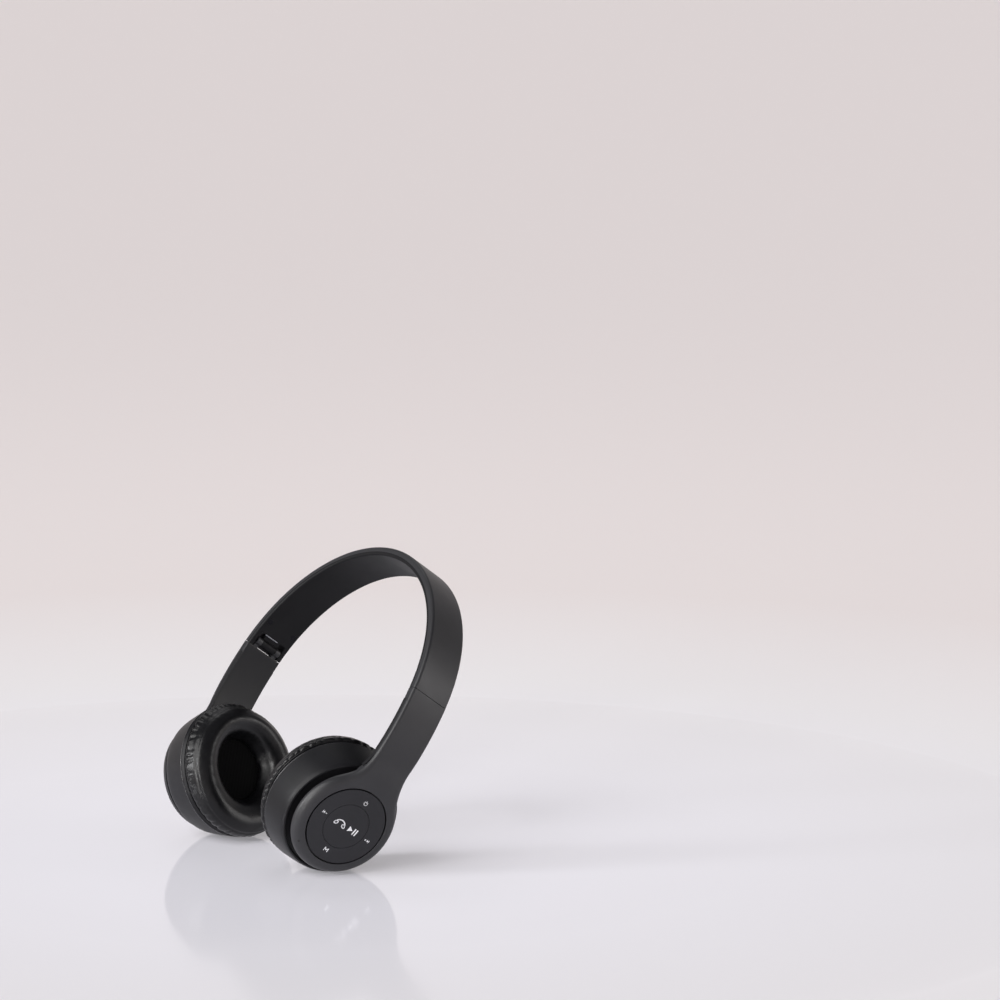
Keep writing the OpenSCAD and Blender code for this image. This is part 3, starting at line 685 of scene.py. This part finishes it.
def signs():
    """The control ring's four signs and the centre button's two."""
    ring_at, line = 15.4, 0.3
    power = stroke(arc(0, 0, 1.0, 1.0, 125, 415, 15), line) + stroke([(0, 0.35), (0, 1.35)], line)
    flat_sign("sign_power", power, (0, ring_at), "control_ring")
    mode = stroke([(-1.1, -1.0), (-1.1, 1.0), (0, -0.3), (1.1, 1.0), (1.1, -1.0)], 0.42)
    flat_sign("sign_mode", mode, (0, -ring_at), "control_ring")
    # each way a triangle and a bar, then a minus or a plus
    back = [[(-1.0, 0), (-0.1, 0.75), (-0.1, -0.75)]] + bar(-1.25, 0.75, line)
    back += stroke([(0.5, 0), (1.5, 0)], line)
    flat_sign("sign_back", back, (-ring_at, 0), "control_ring")
    ahead = [[(1.0, 0), (0.1, 0.75), (0.1, -0.75)]] + bar(1.25, 0.75, line)
    ahead += stroke([(-1.5, 0), (-0.5, 0)], line) + bar(-1.0, 0.5, line)
    flat_sign("sign_ahead", ahead, (ring_at, 0), "control_ring")
    # a telephone receiver: a bow with a leaning loop at each end
    receiver = stroke(arc(0, -2.1, 3.5, 3.5, 152, 28, 12), 0.7)
    for way in (-1, 1):
        c, s = math.cos(0.55), -way * math.sin(0.55)
        loop = [(1.15 * math.cos(a), 0.75 * math.sin(a)) for a in round_turn(12)]
        receiver += stroke([(way * 2.55 + x * c - y * s, -1.0 + x * s + y * c) for x, y in loop],
                           0.5, closed=True)
    flat_sign("sign_handset", receiver, (-3.9, 0.2), "centre_button")
    # a triangle with two bars
    play = [[(-3.2, -1.6), (-0.5, 0), (-3.2, 1.6)]] + bar(0.6, 1.7, 0.75) + bar(2.1, 1.7, 0.75)
    flat_sign("sign_play", play, (5.2, 0), "centre_button")


signs()


# ---------------------------------------------------------------- ear cushions

# The pad's section: its outside, the ridge of its front and its hollow as radii; its widest place
# and its front as depths; the radius and depth at which it meets the housing; the skin's back edge
PAD_R, PAD_RIDGE, PAD_HOLLOW = 36.75, 27.4, 17.7
PAD_WIDEST, PAD_FRONT = 31.5, 41.0
PAD_BACK_R, PAD_BACK, SKIN_EDGE = 33.6, 28.0, 28.2
FOLDS = 46
SEEDS = {"right": 7, "left": 11}
# How far the slumped foam draws the outline in, in mm, every 45 degrees from the top of the arm
SLUMP = {
    "right": (1.3, 0.8, 0.5, 0.2, 0.2, 1.8, 2.9, 2.2),
    "left": (3.4, 1.8, 1.0, 0.4, 0.0, 0.8, 2.2, 3.2),
}


def cushion_profile():
    """The pad's section, a little inside the room that its CAD solid holds."""
    inset, tucked_to, inner_from = 0.7, 27.9, 34.0
    undercut = ((1.4, 32.0), (2.6, 29.6), (3.0, PAD_BACK))
    section = [(PAD_BACK_R - inset, PAD_BACK)]
    section += arc(PAD_BACK_R, PAD_WIDEST, PAD_R - PAD_BACK_R - inset, PAD_WIDEST - tucked_to,
                   -78, -10, 6)
    section += arc(PAD_RIDGE, PAD_WIDEST, PAD_R - PAD_RIDGE - inset, PAD_FRONT - PAD_WIDEST - inset,
                   0, 90, 14)
    section += arc(PAD_RIDGE, inner_from, PAD_RIDGE - PAD_HOLLOW - inset,
                   PAD_FRONT - inner_from - inset, 98, 172, 10)
    section += [(PAD_HOLLOW - back + inset, h) for back, h in undercut]
    return section


def cup_coords(cup, obj):
    co = points_of(obj) / MM - cup.o
    return np.stack([co @ cup.x, co @ cup.y, co @ cup.z], 1)


def inflate(cup, obj):
    """Runs the pad's skin as cloth under pressure, with slack in its side wall.

    With this mass the run moves no point by more than 0.04 mm. The pad's visible form comes
    from its section and from shape_pad.
    """
    start = points_of(obj)
    local = cup_coords(cup, obj)
    held = obj.vertex_groups.new(name="held")
    slack = obj.vertex_groups.new(name="slack")
    for i, (r, h) in enumerate(zip(np.hypot(local[:, 0], local[:, 1]), local[:, 2])):
        if h < 28.9:
            held.add([i], 1.0, "REPLACE")
        slack.add([i], max(0.0, 1 - abs(h - 31.0) / 5.0) if r > 27 else 0.0, "REPLACE")
    skin = obj.modifiers.new("cloth", "CLOTH")
    settings = {
        "quality": 6, "mass": 0.15, "tension_stiffness": 25, "compression_stiffness": 25,
        "bending_stiffness": 0.15, "use_pressure": True, "uniform_pressure_force": 4.0,
        "vertex_group_mass": "held", "vertex_group_shrink": "slack",
        "shrink_min": 0.0, "shrink_max": -0.10,
    }
    for key, value in settings.items():
        setattr(skin.settings, key, value)
    skin.settings.effector_weights.gravity = 0.0
    frames = 20
    skin.point_cache.frame_start = 1
    skin.point_cache.frame_end = frames
    for f in range(1, frames + 1):
        bpy.context.scene.frame_set(f)
    bpy.ops.object.modifier_apply(modifier="cloth")
    move = points_of(obj) - start
    dist = np.linalg.norm(move, axis=1)
    most = 0.9 * MM
    share = np.where(dist > most, most / np.maximum(dist, 1e-12), 1.0)
    set_points(obj, start + move * share[:, None])
    bpy.context.scene.frame_set(1)


def gathers(rng, ang, h):
    """How far the skin is drawn in round its back edge, in uneven folds that die out up the side."""
    edges = np.cumsum(rng.uniform(0.6, 1.5, FOLDS))
    edges = edges / edges[-1] * TURN
    depths = rng.uniform(0.45, 1.0, FOLDS)
    reach = rng.uniform(0.7, 1.15, FOLDS)
    lean = rng.uniform(-0.05, 0.05, FOLDS)
    sheared = np.mod(ang + np.interp(ang, edges, lean) * (h - PAD_BACK) / 5, TURN)
    i = np.searchsorted(edges, sheared) % FOLDS
    low = np.where(i == 0, 0.0, edges[i - 1])
    t = (sheared - low) / (edges[i] - low)
    width, longest, swell_between = 0.17, 7.0, 0.22
    crease = np.exp(-(t / width) ** 2) + np.exp(-((t - 1.0) / width) ** 2)
    fade = np.clip(1 - (h - SKIN_EDGE) / (longest * reach[i]), 0, 1) ** 0.9
    start = np.clip((h - 27.6) / 0.9, 0, 1)
    return (crease * depths[i] - swell_between) * fade * start


def sewn_line(rad, h):
    """The seam between the side and the front of the skin: a groove with a welt beside it."""
    round_edge = np.degrees(np.arctan2(h - PAD_WIDEST, np.maximum(rad - PAD_RIDGE, 0.01)))
    groove = 0.30 * np.exp(-((round_edge - 27) / 4.0) ** 2)
    return groove - 0.12 * np.exp(-((round_edge - 37) / 5.0) ** 2)


def slump(side, ang):
    """The outline's slump at each angle, smoothed between the places in the table."""
    every = np.arange(720) / 2
    drawn = np.interp(every, np.arange(9) * 45, SLUMP[side] + SLUMP[side][:1])
    kernel = np.hanning(121)
    drawn = np.concatenate([drawn[-60:], drawn, drawn[:60]])
    drawn = np.convolve(drawn, kernel / kernel.sum(), "valid")
    return np.interp(np.degrees(ang), every, drawn, period=360)


def shape_pad(side, obj):
    """Draws the pad's skin in by its gathers, its seam and its slump, and dents its front."""
    cup = CUPS[side]
    rng = np.random.default_rng(SEEDS[side])
    local = cup_coords(cup, obj)
    h = local[:, 2]
    rad = np.hypot(local[:, 0], local[:, 1])
    ang = np.mod(np.arctan2(local[:, 1], local[:, 0]), TURN)
    outer = np.clip((rad - 29.5) / 3.0, 0, 1)
    rise = ease(np.clip((h - SKIN_EDGE) / 4.5, 0, 1))
    amount = (gathers(rng, ang, h) + sewn_line(rad, h)) * outer
    amount += slump(side, ang) * rise * np.clip((rad - 23) / 9.0, 0, 1)
    dents = (np.sin(ang * 5 + rng.uniform(0, 6)) + 0.6 * np.sin(ang * 9 + rng.uniform(0, 6))) * 0.09
    dents *= np.clip((h - 36) / 4, 0, 1)
    radial = (local[:, 0:1] * cup.x + local[:, 1:2] * cup.y) / np.maximum(rad, 1e-6)[:, None]
    set_points(obj, points_of(obj) - (radial * amount[:, None] + cup.z * dents[:, None]) * MM)


def cushion(side):
    """The padded ear cushion, the piping behind it and the bead on the housing's rim."""
    cup = CUPS[side]
    verts, faces = lathe(cup, cushion_profile(), 180)
    obj = new_object("cushion_" + side, verts, faces, LEATHER)
    select_only(obj)
    even = obj.modifiers.new("even", "REMESH")
    even.mode = "VOXEL"
    even.voxel_size = 1.6 * MM
    bpy.ops.object.modifier_apply(modifier="even")
    inflate(cup, obj)
    smooth = obj.modifiers.new("smooth", "SUBSURF")
    smooth.levels = smooth.render_levels = 1
    bpy.ops.object.modifier_apply(modifier="smooth")
    shape_pad(side, obj)
    for p in obj.data.polygons:
        p.use_smooth = True
    obj.data.materials.clear()
    obj.data.materials.append(LEATHER)
    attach(obj, "cup_" + side)
    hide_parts("cushion_cover_" + side, "cushion_foam_" + side)
    bead = hoop("housing_bead_" + side, cup, 34.52, 24.75, 0.30, 220, BEAD)
    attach(bead, "cup_" + side)
    seam = hoop("cushion_seam_" + side, cup, 33.75, 27.75, 0.33, 200, LEATHER)
    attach(seam, "cup_" + side)


for side in SIDES:
    cushion(side)


# ---------------------------------------------------------------- floor, lights, camera

def grey(v):
    return v, v, v


def floor():
    """A pale glossy floor that turns matt and warmer away from the set, and glows with painted light that is
    brightest near the set.
    """
    size, gap = 30.0, 0.05 * MM
    mesh = bpy.data.meshes.new("floor")
    corners = [(-size, -size, 0), (size, -size, 0), (size, size, 0), (-size, size, 0)]
    mesh.from_pydata(corners, [], [(0, 1, 2, 3)])
    obj = bpy.data.objects.new("floor", mesh)
    obj.location = (0, 0, float(cad_box[0][2]) - gap)
    bpy.context.scene.collection.objects.link(obj)
    m = material("floor_white_painted_glow", (0.76, 0.75, 0.80), 0.1)
    length = add_node(m, "ShaderNodeVectorMath")
    length.operation = "LENGTH"
    join(m, object_coords(m), length.inputs[0])
    away = add_node(m, "ShaderNodeMapRange", From_Min=0.15, From_Max=0.80)
    join(m, length.outputs["Value"], away.inputs["Value"])
    looks = {
        "Base Color": [(0.0, (0.76, 0.75, 0.81)), (0.5, (0.75, 0.73, 0.74)),
                       (1.0, (0.73, 0.68, 0.675))],
        "Roughness": [(0.0, grey(0.07)), (0.45, grey(0.16)), (1.0, grey(0.6))],
        # painted light: the floor glows by its own emission, brightest near the set and dimmer away from it
        "Emission Color": [(0.0, (0.165, 0.163, 0.17)), (0.35, (0.11, 0.107, 0.11)),
                           (1.0, (0.085, 0.075, 0.076))],
        "Specular IOR Level": [(0.0, grey(0.5)), (0.12, grey(0.2)), (0.4, grey(0.0))],
    }
    for socket, stops in looks.items():
        shade(m, ramp(m, away.outputs["Result"], stops), socket)
    # the strength of the floor's painted glow
    m.node_tree.nodes["Principled BSDF"].inputs["Emission Strength"].default_value = 1.0
    mesh.materials.append(m)


def studio_world():
    """A pale room: bright near the horizon all the way round, dim overhead."""
    world = bpy.data.worlds.new("studio")
    bpy.context.scene.world = world
    world.use_nodes = True
    tree_nodes, links = world.node_tree.nodes, world.node_tree.links
    coords = tree_nodes.new("ShaderNodeTexCoord")
    xyz = tree_nodes.new("ShaderNodeSeparateXYZ")
    by_height = tree_nodes.new("ShaderNodeValToRGB")
    set_stops(by_height, [(0.10, (0.74, 0.685, 0.68)), (0.34, (0.34, 0.33, 0.34)),
                          (0.75, (0.12, 0.12, 0.13))])
    links.new(coords.outputs["Generated"], xyz.inputs["Vector"])
    links.new(xyz.outputs["Z"], by_height.inputs["Fac"])
    links.new(by_height.outputs["Color"], tree_nodes["Background"].inputs["Color"])
    tree_nodes["Background"].inputs["Strength"].default_value = 1.0


def place_light(name, kind, energy, colour, turned):
    light = bpy.data.lights.new(name, kind)
    light.energy = energy
    light.color = colour
    obj = bpy.data.objects.new(name, light)
    obj.rotation_euler = turned.to_euler()
    bpy.context.scene.collection.objects.link(obj)
    return obj


def near_light(name, place, target, size, energy, colour):
    """A square soft light that faces the target."""
    turned = (Vector(target) - Vector(place)).to_track_quat("-Z", "Y")
    obj = place_light(name, "AREA", energy, colour, turned)
    obj.location = place
    obj.data.size = size


def far_light(name, towards, energy, spread, colour=(1.0, 0.99, 0.98)):
    """A soft light far away in this direction, so that it falls evenly on the floor."""
    obj = place_light(name, "SUN", energy, colour, Vector(towards).to_track_quat("Z", "Y"))
    obj.data.angle = math.radians(spread)


def view_camera():
    """The camera at the viewing angle: its right, up and back directions, and its place in metres."""
    right = (0.5730100120731489, 0.8195406211088596, 0.0035632031144023357)
    up = (-0.12405689329217073, 0.08243933982694313, 0.9888445997605452)
    back = (0.8101045693554783, -0.5670598959557999, 0.14890823049104018)
    place = (1.96589643, -1.26474759, 0.53370803)
    lens = bpy.data.cameras.new("camera")
    lens.lens = 165.104
    lens.sensor_width = 36.0
    lens.clip_start = 0.05
    lens.clip_end = 100.0
    cam = bpy.data.objects.new("camera", lens)
    cam.matrix_world = Matrix((*zip(right, up, back, place), (0, 0, 0, 1)))
    bpy.context.scene.collection.objects.link(cam)
    bpy.context.scene.camera = cam


floor()
studio_world()
near_light("behind", (-0.9, 0.45, 1.575), (0.0, 0.0, 0.075), 0.7, 2.2, (1.0, 0.99, 0.98))
far_light("sky", (0.05, -0.80, 0.62), 2.5, 50)
far_light("window", (-0.30, -0.90, 0.30), 0.9, 12, (0.97, 0.98, 1.0))
far_light("front", (0.45, -0.87, 0.20), 0.95, 14)
far_light("side", (0.707, 0.705, 0.12), 0.48, 23)
view_camera()
bpy.context.scene.view_settings.view_transform = "Standard"
